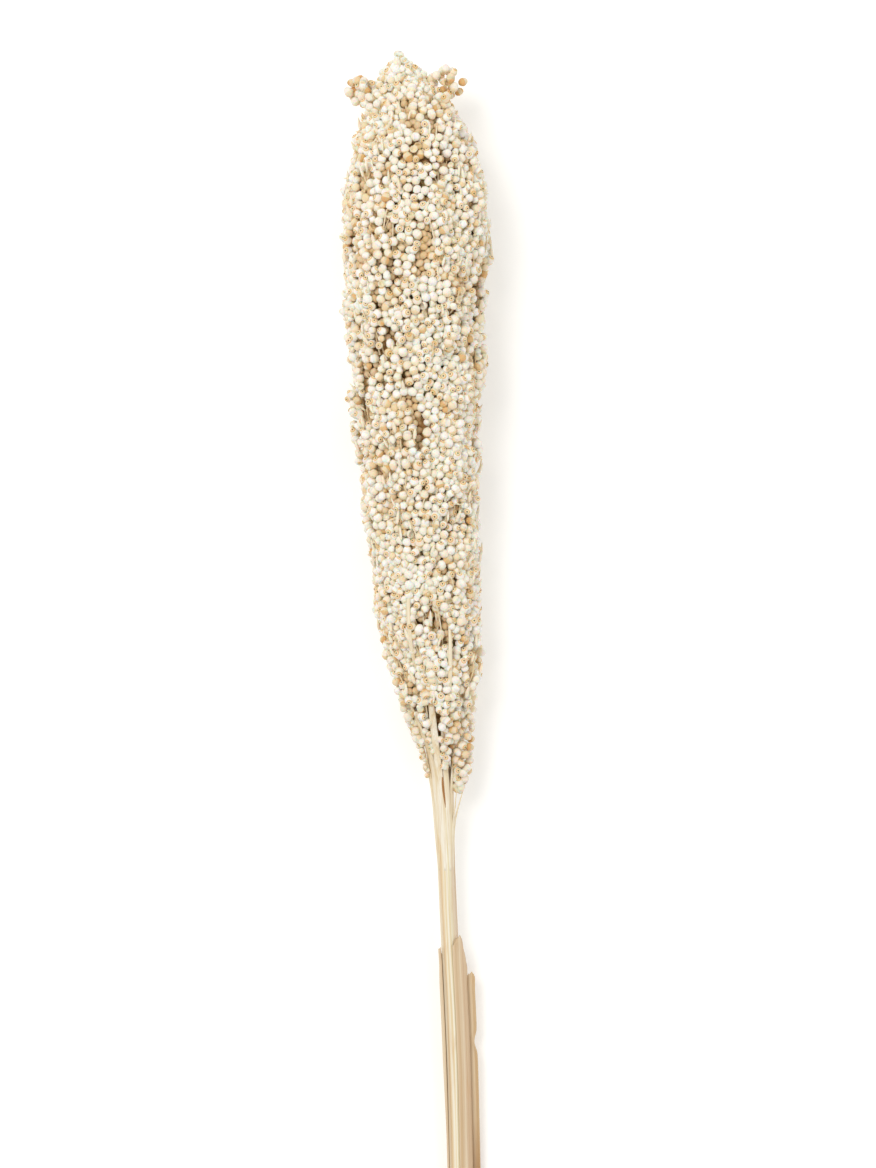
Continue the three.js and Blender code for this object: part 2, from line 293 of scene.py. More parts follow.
print("Cream in linear values:", [round(c, 3) for c in colour("#F4ECDC")])

# %% [markdown]
# ## Turning a bmesh into a piece
#
# Each piece is made in a bmesh at its final place, so its object stays at the origin, unturned and
# unscaled. Smooth shading suits everything here, because grains and straw have no hard edges. Round
# things start as half an outline, which a Spin step turns round an axis.


# %% Finish a piece, and spin an outline
finished = {}


def mesh_from(name, bm):
    mesh = bpy.data.meshes.new(name)
    bm.to_mesh(mesh)
    bm.free()
    return mesh


def finish_mesh(name, mesh, material, replaced):
    mesh.polygons.foreach_set("use_smooth", [True] * len(mesh.polygons))
    mesh.materials.clear()
    mesh.materials.append(material)
    piece = new_object(name, mesh)
    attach(piece, "root")
    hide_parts(replaced)
    mesh.calc_loop_triangles()
    finished[name] = len(mesh.loop_triangles)
    print(name, "has", finished[name], "triangles")
    return piece


def spin_outline(points, axis, sides):
    bm = bmesh.new()
    corners = [bm.verts.new(point) for point in points]
    edges = [bm.edges.new(pair) for pair in zip(corners, corners[1:])]
    bmesh.ops.spin(
        bm,
        geom=corners + edges,
        cent=(0, 0, 0),
        axis=axis,
        angle=math.tau,
        steps=sides,
        use_merge=True,
    )
    bmesh.ops.remove_doubles(bm, verts=bm.verts, dist=1e-4)
    return bm


# %% [markdown]
# ## What a grain looks like
#
# A sorghum grain is nearly a ball, 4 mm across. It sits in a pair of small papery husks, and where
# the flower's style fell off its top there is a tiny dark scar in a yellowish ring. A half outline
# is drawn from bottom to top and spun round the upright axis. The husks are the step in that
# outline, and two of their sides are pulled up into points. A few dozen faces are enough, because
# thousands of grains are needed. The outlines are (radius, height), and each of the five shapes has
# its own sides, flatness and points.

# %% Grain shapes
RIM_SHARE = 0.985
FULL_GRAIN = [
    (0.0, -1.12), (0.62, -0.92), (1.02, -0.36), (1.05, -0.1), (0.97, -0.04), (0.9, 0.42),
    (0.62, 0.77), (0.3, 0.945), (0.0, 0.86),
]
PLAIN_GRAIN = [
    (0.0, -1.0), (0.7, -0.7), (1.0, -0.05), (0.84, 0.56), (0.42, 0.9), (0.0, 1.0),
]
EMPTY_HUSK = [
    (0.0, -0.95), (0.55, -0.8), (0.95, -0.3), (1.0, 0.12), (0.74, 0.16), (0.6, -0.3), (0.0, -0.5),
]
THIN_FLORET = [
    (0.0, -1.2), (0.34, -0.7), (0.46, 0.0), (0.3, 0.8), (0.0, 1.5),
]


def grain_shape(outline, sides, flat, points):
    bm = spin_outline([(radius, 0, height) for radius, height in outline], (0, 0, 1), sides)
    rim = RIM_SHARE * max(radius for radius, _ in outline)
    for vert in bm.verts:
        if math.hypot(vert.co.x, vert.co.y) > rim:
            vert.co.z += points * math.cos(2 * math.atan2(vert.co.y, vert.co.x))
    bmesh.ops.scale(bm, vec=(1, flat, 1), verts=bm.verts)
    bmesh.ops.recalc_face_normals(bm, faces=bm.faces)
    return mesh_from("shape", bm)


SHAPES = {
    "full": grain_shape(FULL_GRAIN, 9, 1.0, 0.14),
    "husked": grain_shape(FULL_GRAIN, 9, 0.92, 0.42),
    "plain": grain_shape(PLAIN_GRAIN, 7, 0.95, 0.0),
    "husk": grain_shape(EMPTY_HUSK, 8, 0.85, 0.2),
    "floret": grain_shape(THIN_FLORET, 6, 0.6, 0.0),
}
for kind, shape in SHAPES.items():
    print(kind, "has", len(shape.vertices), "corners and", len(shape.polygons), "faces")

# %% [markdown]
# ## Where the grains sit
#
# One rule says how far from the middle line the outer grains lie. It follows the outline and the
# swellings, broad noise lifts some groups and sinks others, and the left shoulder is narrower. A
# few pits stay dark.

# %% Where the surface is
OUTER_GRAINS = 4100
INNER_GRAINS = 3000
DEEP_GRAINS = 2000
GRAIN_RADIUS = 1.93
CENTRE_DEPTH = 2.5
WAVE_SIZE = 9
WAVE_HEIGHT = 1.5
PIT_COUNT = 46
PIT_DEPTH = 3.4
PIT_EDGE = 2
SLOPE_DEPTH = 2.0
SLOPE_FROM_TIP = 38
SLOPE_LENGTH = 17


def bell(value, middle, width):
    return math.exp(-(((value - middle) / width) ** 2))


def surface_radius(from_tip, angle):
    place = around(from_tip, angle, head_radius(from_tip)) / (WAVE_SIZE * MM)
    waves = WAVE_HEIGHT * min(from_tip / 45, 1) * noise.noise(place)
    left_slope = SLOPE_DEPTH * (1 - math.cos(angle)) * bell(from_tip, SLOPE_FROM_TIP, SLOPE_LENGTH)
    lobes = lobe_height(from_tip, angle) * min(from_tip / 30, 1)
    return head_radius(from_tip) - CENTRE_DEPTH + lobes + waves - left_slope


def on_surface(from_tip, angle):
    return around_mm(from_tip, angle, surface_radius(from_tip, angle))


pits = []
for _ in range(PIT_COUNT):
    from_tip, angle = chance.between(18, 295), chance.between(0, math.tau)
    pits.append((on_surface(from_tip, angle), chance.between(2.4, 4.4)))


def pit_depth(place):
    depth = 0
    for centre, reach in pits:
        distance = (place - centre).length / reach
        if distance < PIT_EDGE:
            depth = max(depth, PIT_DEPTH * bell(distance, 0, 1))
    return depth


print("pits:", len(pits))

# %% [markdown]
# Grains hang in short rows on thin branchlets. So rows of two to five are thrown over the head,
# most of them running towards its tip. Then each grain is pushed off its neighbours a few times and
# pulled back to its own depth, so that the grains press together and the rows stay readable. The
# last limits round off the tip, and flatten the head where it lies on the table.

# %% The outer layer
GRAIN_STEP = 3.1
TIP_CLEARANCE = 5
SETTLING_ROUNDS = 9
NEIGHBOUR_REACH = 2.5
PUSH_SHARE = 0.45
FIXED_PUSH_SHARE = 0.3
PULL_SHARE = 0.7
DOME_START = 3.5
DOME_CURVE = 0.14
DOME_RADIUS = 6


def thrown_points(count, depth_low, depth_high):
    points = []
    while len(points) < count:
        from_tip = chance.between(TIP_CLEARANCE, COVER_LENGTH)
        if chance.share() * widest_radius > head_radius(from_tip):
            continue
        angle = chance.between(0, math.tau)
        depth = chance.between(depth_low, depth_high)
        drift = chance.spread(0.9)
        for _ in range(2 + int(chance.share() * 4)):
            points.append([from_tip, angle, depth + chance.spread(0.5)])
            from_tip -= GRAIN_STEP * math.cos(drift)
            angle += GRAIN_STEP * math.sin(drift) / max(head_radius(from_tip), 4)
            if from_tip < TIP_CLEARANCE:
                break
    return points[:count]


def settled(points, radii, fixed):
    places = [around_mm(t, angle, surface_radius(t, angle) - depth) for t, angle, depth in points]
    for _ in range(SETTLING_ROUNDS):
        tree = kdtree.KDTree(len(places) + len(fixed))
        for i, place in enumerate(places):
            tree.insert(place, i)
        for i, (place, _) in enumerate(fixed):
            tree.insert(place, len(places) + i)
        tree.balance()
        moved = []
        for i, place in enumerate(places):
            push = Vector()
            for other, j, distance in tree.find_range(place, radii[i] + NEIGHBOUR_REACH):
                loose = j < len(places)
                reach = radii[i] + (radii[j] if loose else fixed[j - len(places)][1])
                if j != i and 1e-6 < distance < reach:
                    share = PUSH_SHARE if loose else FIXED_PUSH_SHARE
                    push += (place - other) * (share * (reach - distance) / distance)
            place = place + push
            from_tip = min(max(REST_FROM_TIP - place.y, 0), COVER_LENGTH + 3)
            middle = middle_at(from_tip) / MM
            angle = math.atan2(place.z - middle.z, place.x - middle.x)
            wanted = max(surface_radius(from_tip, angle) - points[i][2], 0.2)
            out = outwards(angle)
            here = (place - middle).dot(out)
            place += out * (wanted - here) * PULL_SHARE
            dome = DOME_CURVE * min(here, DOME_RADIUS) ** 2
            place.y = min(place.y, REST_FROM_TIP - DOME_START - dome)
            place.z = max(place.z, radii[i])
            moved.append(place)
        places = moved
    return places


outer_points = thrown_points(OUTER_GRAINS, -1.0, 1.9)
outer_radii = [GRAIN_RADIUS * (1.08 - 0.34 * chance.share() ** 2) for _ in outer_points]
for point in outer_points:
    point[2] += pit_depth(on_surface(point[0], point[1]))
outer_places = settled(outer_points, outer_radii, [])
print("outer grains settled:", len(outer_places))

# %% [markdown]
# Two deeper layers show through the gaps. Each is thrown the same way and settles against the one
# outside it.


# %% The inner layers
def deeper_layer(count, depths, sizes, outside):
    points = thrown_points(count, *depths)
    radii = [GRAIN_RADIUS * chance.between(*sizes) for _ in points]
    return list(zip(settled(points, radii, outside), radii))


outer_layer = list(zip(outer_places, outer_radii))
inner_layer = deeper_layer(INNER_GRAINS, (2.6, 4.4), (0.85, 1.05), outer_layer)
deep_layer = deeper_layer(DEEP_GRAINS, (5.2, 6.6), (0.9, 1.1), inner_layer)
print("inner grains settled:", len(inner_layer), "and deep ones:", len(deep_layer))

# %% [markdown]
# ## Which way a grain faces
#
# Grains grow out of the head and lean towards its tip, each a little its own way. A grain is kept as a short
# record: where it is, how large, which way its top points, how much light and weather bleached it, how much
# painted shade it gets for lying deep, and its kind.

# %% Grain records
HUSKED_BELOW = 0.24
HUSK_BELOW = 0.27
DOT_SHARE = 0.6
FAINT_DOT = 0.1
TIPWARD_LEAN = Vector((0, 0.5, 0))
LEAN_SPREAD = 1.15
SLOPE_SPAN = 3


def outward(place_mm):
    from_tip = REST_FROM_TIP - place_mm.y
    flat = place_mm - middle_at(from_tip) / MM
    flat.y = 0
    narrow, wide = head_radius(max(from_tip - SLOPE_SPAN, 0)), head_radius(from_tip + SLOPE_SPAN)
    slope = (wide - narrow) / (2 * SLOPE_SPAN)
    return (flat.normalized() + Vector((0, 0.8 * slope, 0))).normalized()


def grain_record(place, radius, depth, kind=None, tint=None):
    lean = outward(place) + TIPWARD_LEAN + chance.direction() * LEAN_SPREAD
    draw = chance.share()
    if kind is None:
        kind = "husked" if draw < HUSKED_BELOW else "husk" if draw < HUSK_BELOW else "full"
    return {
        "place": place,
        "radius": radius,
        "up": lean.normalized(),
        "turn": chance.between(0, math.tau),
        "flat": chance.between(0.84, 1.0),
        "long": chance.between(0.94, 1.22),
        "tint": chance.share() if tint is None else tint,
        "dot": 1 if chance.share() < DOT_SHARE else FAINT_DOT,
        "depth": depth,
        "kind": kind,
    }


# The third value is the grain's painted shade: none for the outer layer, more for each deeper one.
grains = [grain_record(place, radius, 0.0) for place, radius in outer_layer]
grains += [grain_record(place, radius, 0.8, "plain") for place, radius in inner_layer]
grains += [grain_record(place, radius, 1.0, "plain") for place, radius in deep_layer]
print("grains on the covered part:", len(grains))

# %% [markdown]
# ## Bunches that stand out
#
# Some side branches end a little beyond the others and break the outline, most of all the two at
# the shoulders of the head. Each ends in a rounded bunch of grains, as on the CAD model, but here
# the grains have their true size. They are spread over an egg shape by the golden angle, which
# keeps them side by side without a grid, and every fourth one sits further in. A bunch is (from the
# tip, degrees, distance, half length, half width, grains).

# %% Bunches and the pointed tip
BUNCHES = [
    (16.5, 180, 17.8, 7.4, 7.6, 22),
    (14.8, 2, 18.8, 7.8, 9.0, 23),
    (26, 42, 21, 6.5, 5.5, 13),
    (24, 140, 19, 6, 5, 10),
    (62, 196, 29, 7, 4.5, 10),
    (128, 60, 28, 6, 4, 8),
    (150, 172, 27, 7, 4.5, 10),
    (236, 150, 22, 7, 4.5, 10),
    (262, 350, 19, 7, 4.5, 10),
]
INNER_SHARE = 0.35
TIP_GRAINS = 15
TIP_START = 1.9
TIP_STEP = 1.05
bunch_stems = []


def add_bunch(from_tip, degrees, distance, half_length, half_width, count):
    angle = math.radians(degrees)
    for i in range(count):
        rise = 1 - 2 * (i + 0.5) / count
        inner = INNER_SHARE if i % 4 == 2 else 1
        ring = math.sqrt(1 - rise * rise) * (half_width - GRAIN_RADIUS) * inner
        turn = i * GOLDEN_ANGLE + chance.spread(0.4)
        at = from_tip - rise * (half_length - GRAIN_RADIUS) + chance.spread(0.5)
        out = distance + math.sin(turn) * ring + chance.spread(0.4)
        place = around_mm(max(at, 0), angle + math.cos(turn) * ring / distance, out)
        radius = GRAIN_RADIUS * chance.between(0.88, 1.08)
        grains.append(grain_record(place, radius, 0.1, tint=chance.share() ** 2))
    root = from_tip + half_length
    stem = [(root + 6, angle, distance * 0.6), (root, angle, distance - 2), (from_tip, angle, distance)]
    bunch_stems.append(stem)


for bunch in BUNCHES:
    add_bunch(*bunch)

for i in range(TIP_GRAINS):
    from_tip = TIP_START + i * TIP_STEP
    ring = max(head_radius(from_tip) - 2.2, 0.2) * min(i / 3, 1)
    place = around_mm(from_tip, i * GOLDEN_ANGLE, ring)
    grains.append(grain_record(place, GRAIN_RADIUS * chance.between(0.88, 1.04), 0.0))
print("grains with bunches and tip:", len(grains))

# %% [markdown]
# ## The open foot of the head
#
# Under the crowded part the stalk splits into flat branches, and one sees between them. Each branch is a
# ribbon, written as stations from top to root: (from the tip, degrees, distance, width, thickness). Four are
# listed one by one, and seven more close the ring. The first two show at the front, so grains that would hide
# them are taken off.

# %% Ribbon branches of the foot
BARE_FROM_TIP = 282
BARE_HALF_WIDTH = 2.5
FOOT_RIBBONS = [
    [(252, 158, 20.0, 1.0, 0.6), (270, 154, 16.2, 1.8, 0.8), (288, 145, 10.8, 2.6, 0.9),
     (305, 131, 5.9, 3.1, 1.0), (322, 124, 4.4, 3.1, 1.1), (336, 121, 3.9, 2.9, 1.0),
     (354, 119, 3.1, 2.2, 1.0)],
    [(262, 97, 19.6, 1.5, 0.7), (276, 98, 16.0, 2.4, 0.9), (290, 99, 11.4, 3.0, 1.1),
     (305, 100, 6.6, 3.1, 1.1), (322, 95, 4.3, 2.8, 1.1), (336, 90, 3.8, 2.8, 1.0),
     (354, 88, 3.1, 2.4, 1.0)],
    [(258, 70, 18.4, 1.0, 0.6), (278, 74, 12.8, 1.6, 0.8), (296, 74, 7.6, 2.1, 0.9), (310, 68, 5.2, 2.5, 1.0),
     (324, 62, 4.35, 2.7, 1.0), (338, 58, 3.8, 2.6, 1.0), (354, 56, 3.1, 2.2, 1.0)],
    [(262, 22, 16.8, 1.0, 0.6), (284, 24, 11.8, 1.5, 0.8), (302, 26, 7.2, 2.0, 0.9), (320, 27, 4.5, 2.5, 1.0),
     (338, 27, 3.8, 2.6, 1.0), (354, 27, 3.1, 2.2, 1.0)],
]
for degrees in (158, 192, 224, 258, 292, 326, 356):
    turned = degrees + chance.spread(7)
    lifted = chance.spread(0.4)
    FOOT_RIBBONS.append(
        [(258, turned + chance.spread(4), 17.6, 1.0, 0.6), (280, turned, 12.4, 1.6, 0.8),
         (300, turned, 7.4 + lifted, 2.2, 0.9), (318, degrees, 4.6, 2.6, 1.0), (338, degrees, 3.8, 2.6, 1.0),
         (354, degrees, 3.1, 2.2, 1.0)]
    )


def covers_branch(place):
    from_tip = REST_FROM_TIP - place.y
    middle = middle_at(from_tip) / MM
    if from_tip < BARE_FROM_TIP or place.z < middle.z:
        return False
    for stations in FOOT_RIBBONS[:2]:
        degrees, distance, _, _ = stations_at(stations, from_tip)
        sideways = math.cos(math.radians(degrees)) * distance
        if abs(place.x - middle.x - sideways) < BARE_HALF_WIDTH:
            return True
    return False


before = len(grains)
grains = [grain for grain in grains if not covers_branch(grain["place"])]
print("grains taken off the two front branches:", before - len(grains))

# %% [markdown]
# Two branches stay on top of the grains for a stretch, on the left and on the right of the front,
# and dive under them again at both ends. Their shape is a list of (distance along, height over the
# grains, width).

# %% Branches over the grains
OVER_GRAINS = [(0, -1.2, 0.8), (7, 1.4, 1.5), (17, 1.9, 2.0), (27, 1.5, 1.8), (37, -1.2, 1.4)]
DEGREES_PER_MM = 0.12
for top, degrees in ((229, 112), (246, 66)):
    stations = []
    for along, lift, width in OVER_GRAINS:
        from_tip = top + along
        turned = degrees + along * DEGREES_PER_MM
        distance = surface_radius(from_tip, math.radians(turned)) + lift
        stations.append((from_tip, turned, distance, width, 0.8))
    FOOT_RIBBONS.append(stations)
print("ribbon branches:", len(FOOT_RIBBONS))

# %% [markdown]
# A dense bunch hangs on the right, small unripe grains cling to the left branch, and a few white
# ones sit in front. Each strand is a row of stations, (from the tip, degrees, distance, half its
# width), with grains spread round it by the golden angle, and then how many grains, their size and
# their tint. The last three strands close the back.

# %% Strands of grains at the foot
FOOT_STRANDS = [
    ([(281, 16, 12.2, 5.6), (300, 14, 10.2, 5.2), (311, 12, 9.2, 4.3), (320, 12, 7.2, 1.8)],
     62, 0.93, None),
    ([(287, 156, 12.2, 1.9), (296, 153, 10.2, 1.7), (305, 151, 8.2, 1.6), (313, 149, 6.8, 1.2)],
     17, 0.62, 0.2),
    ([(278, 160, 15.0, 3.2), (290, 156, 11.5, 2.6), (300, 150, 8.6, 2.2)], 14, 0.92, None),
    ([(296, 76, 9.4, 2.9), (303, 72, 8.0, 2.6), (309, 72, 6.8, 2.0)], 9, 0.86, None),
    ([(280, 62, 14.5, 4.2), (297, 55, 10.5, 3.0)], 15, 0.95, None),
    ([(280, 126, 14.5, 3.4), (290, 122, 10.4, 2.4), (303, 114, 6.8, 1.1)], 15, 0.78, None),
    ([(280, 215, 13.5, 4.4), (298, 222, 9.4, 3.4)], 18, 0.95, None),
    ([(281, 268, 12.5, 4.6), (302, 270, 8.8, 3.4)], 20, 0.95, None),
    ([(280, 318, 13.0, 4.6), (304, 322, 9.0, 3.6)], 20, 0.95, None),
]
for stations, count, size, tint in FOOT_STRANDS:
    first, last = stations[0][0], stations[-1][0]
    for i in range(count):
        at = first + (last - first) * (i + 0.5) / count + chance.spread(0.6)
        degrees, distance, half_width = stations_at(stations, at)
        radius = GRAIN_RADIUS * size * chance.between(0.86, 1.1)
        ring = max(half_width - radius * 0.8, 0.3)
        turn = i * GOLDEN_ANGLE
        angle = math.radians(degrees) + math.cos(turn) * ring / distance
        place = around_mm(at, angle, distance + math.sin(turn) * ring)
        grains.append(grain_record(place, radius, 0.2, None, tint))
print("grains with the foot:", len(grains))

# %% [markdown]
# Empty florets stick out between the grains, and pale scales lie flat on them and point to the tip.
# Last of all, everything is lifted far enough off the table for its length.

# %% Florets and scales
FLORETS = 170
SCALES = 260
FLORET_REACH = 1.85
GRAIN_REACH = 1.25


def place_on_head(first, last, low, high):
    from_tip = chance.between(first, last)
    angle = chance.between(0, math.tau)
    return around_mm(from_tip, angle, surface_radius(from_tip, angle) + chance.between(low, high))


for _ in range(FLORETS):
    place = place_on_head(20, 280, 0.4, 1.8)
    grains.append(grain_record(place, GRAIN_RADIUS * chance.between(0.5, 0.8), 0.2, "floret"))
for _ in range(SCALES):
    place = place_on_head(14, 284, 0.8, 1.9)
    scale = grain_record(place, chance.between(1.6, 2.5), 0.0, "floret", chance.between(0.6, 1.0))
    along = outward(place) * 0.3 + Vector((0, 1, 0)) + chance.direction() * 0.35
    scale["up"] = along.normalized()
    grains.append(scale)
for grain in grains:
    reach = grain["radius"] * (FLORET_REACH if grain["kind"] == "floret" else GRAIN_REACH)
    grain["place"].z = max(grain["place"].z, reach)
print("all grains and florets:", len(grains))

# %% [markdown]
# ## Bleached grain
#
# The skin of a bleached grain is cream-white and dull, like unglazed porcelain. Its scar is a brown dot in a
# yellowish ring, and its husks are straw-beige. The mesh carries what the shader needs as attributes: how far
# a point is from the scar, whether it belongs to the husks, how bleached that grain is, and how deep it lies.
# Deeper grains are multiplied by a warm beige, which is painted shade for the gaps between the outer grains.

# %% Grain material
grain_material, tree, shader = new_material(
    "bleached_sorghum_grain", Roughness=0.6, IOR=1.45, Subsurface_Weight=0.3, Subsurface_Scale=1.2 * MM
)


def read_attribute(tree, name):
    return add_node(tree, "Attribute", attribute_name=name).outputs["Fac"]


tint = read_attribute(tree, "tint")
place = add_node(tree, "TexCoord").outputs["Object"]
skin = ramp(
    tree,
    tint,
    [(0.0, "#EBD8B2"), (0.07, "#F2E7D0"), (0.3, "#F5EFE1"), (0.65, "#F7F3EA"), (1.0, "#FAF8F3")],
)
blotches = remap(tree, cloudy(tree, place, 1.4 * MM, 3.0), 0.5, 0.8, 0.0, 0.32)
blotched = mix(tree, blotches, skin, colour("#EEDDBA"))
scar = ramp(
    tree,
    read_attribute(tree, "from_scar"),
    [(0.12, "#3F321C"), (0.2, "#E9D5AC"), (0.38, "#FCF4E0"), (0.48, "#E6BF7E"), (0.58, "#EBCB94"),
     (0.7, "#FFFFFF")],
)
scarred = mix(tree, read_attribute(tree, "dot"), blotched, scar, "MULTIPLY")
husk_skin = ramp(tree, tint, [(0.0, "#DBAF72"), (0.12, "#E7CA99"), (0.36, "#EFDFBE"), (1.0, "#F5ECD8")])
husked = mix(tree, read_attribute(tree, "husk"), scarred, husk_skin)
# Painted shade: the depth attribute darkens inner and deep grains towards a warm beige.
shaded = mix(tree, read_attribute(tree, "depth"), husked, colour("#E2C698"), "MULTIPLY")
tree.links.new(shaded, shader.inputs["Base Color"])
add_bump(tree, shader, cloudy(tree, place, 0.35 * MM, 2.0), 0.25, 0.08 * MM)
print("the grain material has", len(tree.nodes), "nodes")

# %% [markdown]
# ## Planting the grains
#
# Each grain is a copy of one of the five shapes, scaled, turned and moved to its place, and
# thousands of copies are gathered in one mesh. The head is kept as a few such meshes from tip to
# foot, so that none grows too large.

# %% Plant the grains
NO_SCAR = 1.2


def shape_marks(kind):
    corners = [vert.co for vert in SHAPES[kind].vertices]
    if kind in ("husk", "floret"):
        return [NO_SCAR] * len(corners), [1.0] * len(corners)
    if kind == "plain":
        return [NO_SCAR] * len(corners), [0.0] * len(corners)
    from_scar, husk = [], []
    for corner in corners:
        from_axis = math.hypot(corner.x, corner.y)
        in_husk = corner.z < -0.5 or corner.z < -0.02 and from_axis > 1.0
        from_scar.append(from_axis if corner.z > 0.2 else NO_SCAR)
        husk.append(1.0 if in_husk else 0.0)
    return from_scar, husk


MARKS = {kind: shape_marks(kind) for kind in SHAPES}


def plant(name, chosen):
    bm = bmesh.new()
    marks = {"from_scar": [], "husk": [], "tint": [], "dot": [], "depth": []}
    for grain in chosen:
        copy = SHAPES[grain["kind"]].copy()
        radius = grain["radius"] * MM
        size = Matrix.Diagonal((radius * grain["flat"], radius, radius * grain["long"], 1))
        upright = grain["up"].to_track_quat("Z", "Y").to_matrix().to_4x4()
        turned = upright @ Matrix.Rotation(grain["turn"], 4, "Z") @ size
        copy.transform(Matrix.Translation(grain["place"] * MM) @ turned)
        bm.from_mesh(copy)
        count = len(copy.vertices)
        bpy.data.meshes.remove(copy)
        from_scar, husk = MARKS[grain["kind"]]
        marks["from_scar"] += from_scar
        marks["husk"] += husk
        for key in ("tint", "dot", "depth"):
            marks[key] += [grain[key]] * count
    mesh = mesh_from(name, bm)
    for key, values in marks.items():
        mesh.attributes.new(key, "FLOAT", "POINT").data.foreach_set("value", values)
    return finish_mesh(name, mesh, grain_material, "seed_head")


grains.sort(key=lambda grain: -grain["place"].y)
GRAIN_PIECES = ["grains_tip", "grains_shoulder", "grains_middle", "grains_waist", "grains_foot"]
share = math.ceil(len(grains) / len(GRAIN_PIECES))
for i, name in enumerate(GRAIN_PIECES):
    plant(name, grains[i * share : (i + 1) * share])

# %% [markdown]
# ## A straightened place
#
# Streaks in straw follow the plant. Each corner of a straw piece therefore carries its place on a
# plant whose middle line has been pulled straight, and the straw material reads that place, so
# streaks run true through every bend and no seam shows.

# %% Straight places
BROWN_FROM_TIP = 462


def store_straight_places(mesh):
    values = []
    for vert in mesh.vertices:
        from_tip = REST_FROM_TIP - vert.co.y / MM
        offset = vert.co - middle_at(from_tip)
        values += [offset.x, from_tip * MM, offset.z]
    mesh.attributes.new("straight", "FLOAT_VECTOR", "POINT").data.foreach_set("vector", values)


def straw_material(name, stops, reach, wander, shine, vein_depth, foot_brown=0.0):
    material, tree, shader = new_material(name, Roughness=shine, IOR=1.5)
    straight = add_node(tree, "Attribute", attribute_name="straight").outputs["Vector"]
    across, along, _ = add_node(tree, "SeparateXYZ", {"Vector": straight}).outputs

    def streaks(width, length, detail):
        scale = (1 / width, 1 / length, 1 / width)
        stretched = add_node(tree, "Mapping", {"Vector": straight, "Scale": scale})
        return cloudy(tree, stretched.outputs["Vector"], 1.0, detail)

    drift = remap(tree, streaks(1.7 * MM, 120 * MM, 3.0), 0.0, 1.0, -wander * MM, wander * MM)
    shifted = add_node(tree, "Math", operation="ADD")
    tree.links.new(across, shifted.inputs[0])
    tree.links.new(drift, shifted.inputs[1])
    band = remap(tree, shifted.outputs["Value"], -reach * MM, reach * MM, 0.0, 1.0)
    bands = ramp(tree, band, [(i / (len(stops) - 1), stop) for i, stop in enumerate(stops)])

    fine = streaks(0.32 * MM, 45 * MM, 2.0)
    veined = mix(tree, remap(tree, fine, 0.45, 0.75, 0.0, 0.5), bands, colour("#CDAA76"))
    patches = remap(tree, streaks(2.6 * MM, 22 * MM, 4.0), 0.6, 0.78, 0.0, 0.45)
    patched = mix(tree, patches, veined, colour("#D3A06A"))
    foot = remap(tree, along, BROWN_FROM_TIP * MM, TOTAL_LENGTH * MM, 0.0, foot_brown)
    browned = mix(tree, foot, patched, colour("#A46F3A"))
    tree.links.new(browned, shader.inputs["Base Color"])
    add_bump(tree, shader, fine, 0.6, vein_depth * MM)
    return material


# %% [markdown]
# ## Straw
#
# Dried straw is satin, with long bands where the fibres show through. From the stalk's left edge to its right
# they run from beige over cream and pale yellow to a pinkish beige, so the bands are read across the stalk
# and only wander a little. The greyer, darker bands towards the right edge are the straw's own streaks with
# painted shade laid in. The leaf base is the same stuff as thin as paper, so it is duller and pinker, and the
# outer strip turns darker and browner towards the stalk's cut end.

# %% Straw materials
# The bands run across the stalk from left to right; the greyer, darker ones at the right end carry painted
# shade.
STALK_STREAKS_AND_SHADE = [
    "#D5BC92", "#EADBBD", "#EFE3CA", "#DDBB8E", "#EAD3AA", "#F6EFDC", "#EBD8AA", "#F8F3E4",
    "#EADDB0", "#F4ECD6", "#E2D6B4", "#DDC8AE", "#E6D5BC", "#D6BC9C", "#C9AA84",
]
BRANCH_BANDS = ["#E5D0A6", "#F1E6CC", "#E8D4AC", "#F6F0E0", "#EBDBB6", "#F3E9D0", "#E2CBA0"]
LEAF_BANDS = [
    "#D3B890", "#E9D8BA", "#D2B590", "#EBDCC0", "#D9BD9A", "#E2CBAC", "#CDB08A", "#E6D2B4",
    "#D2B494", "#E0C8A6",
]
stalk_straw = straw_material("satin_dried_straw", STALK_STREAKS_AND_SHADE, 4.4, 1.1, 0.45, 0.1)
branch_straw = straw_material("bleached_branch_straw", BRANCH_BANDS, 16, 10, 0.55, 0.08)
leaf_paper = straw_material("papery_dried_leaf", LEAF_BANDS, 7, 2.2, 0.65, 0.12)
outer_leaf_paper = straw_material("papery_leaf_with_brown_foot", LEAF_BANDS[::-1], 9, 3, 0.65, 0.12, 0.75)
tear_brown, tree, shader = new_material("torn_brown_fibre", Roughness=0.8)
fibre = add_node(tree, "TexNoise", {"Scale": 1 / (0.8 * MM), "Detail": 3.0}).outputs["Fac"]
tree.links.new(ramp(tree, fibre, [(0.35, "#8A5A2C"), (0.65, "#C08C54")]), shader.inputs["Base Color"])
print("straw materials:", stalk_straw.name, "and", leaf_paper.name)

# %% [markdown]
# ## A tube through rings
#
# The stalk and the swelling at its top are tubes of changing width, and the flat branches are tubes
# too. A circle is made at each place along the plant, its corners are moved by a rule, and each
# ring is bridged to the next. The first and last are closed.

# %% Lofted tubes
STALK_SIDES = 108


def bridge_and_close(bm, rings):
    loops = [list({edge for vert in ring for edge in vert.link_edges}) for ring in rings]
    for lower, upper in zip(loops, loops[1:]):
        bmesh.ops.bridge_loops(bm, edges=lower + upper)
    for loop in (loops[0], loops[-1]):
        bmesh.ops.edgeloop_fill(bm, edges=loop)


def lofted(places, radius_of):
    bm = bmesh.new()
    rings = []
    for from_tip in places:
        ring = bmesh.ops.create_circle(bm, segments=STALK_SIDES, radius=1.0)["verts"]
        for i, vert in enumerate(ring):
            angle = -math.pi / 2 + i / STALK_SIDES * math.tau
            vert.co = around(from_tip, angle, radius_of(from_tip, angle))
        rings.append(ring)
    bridge_and_close(bm, rings)
    bmesh.ops.recalc_face_normals(bm, faces=bm.faces)
    return bm


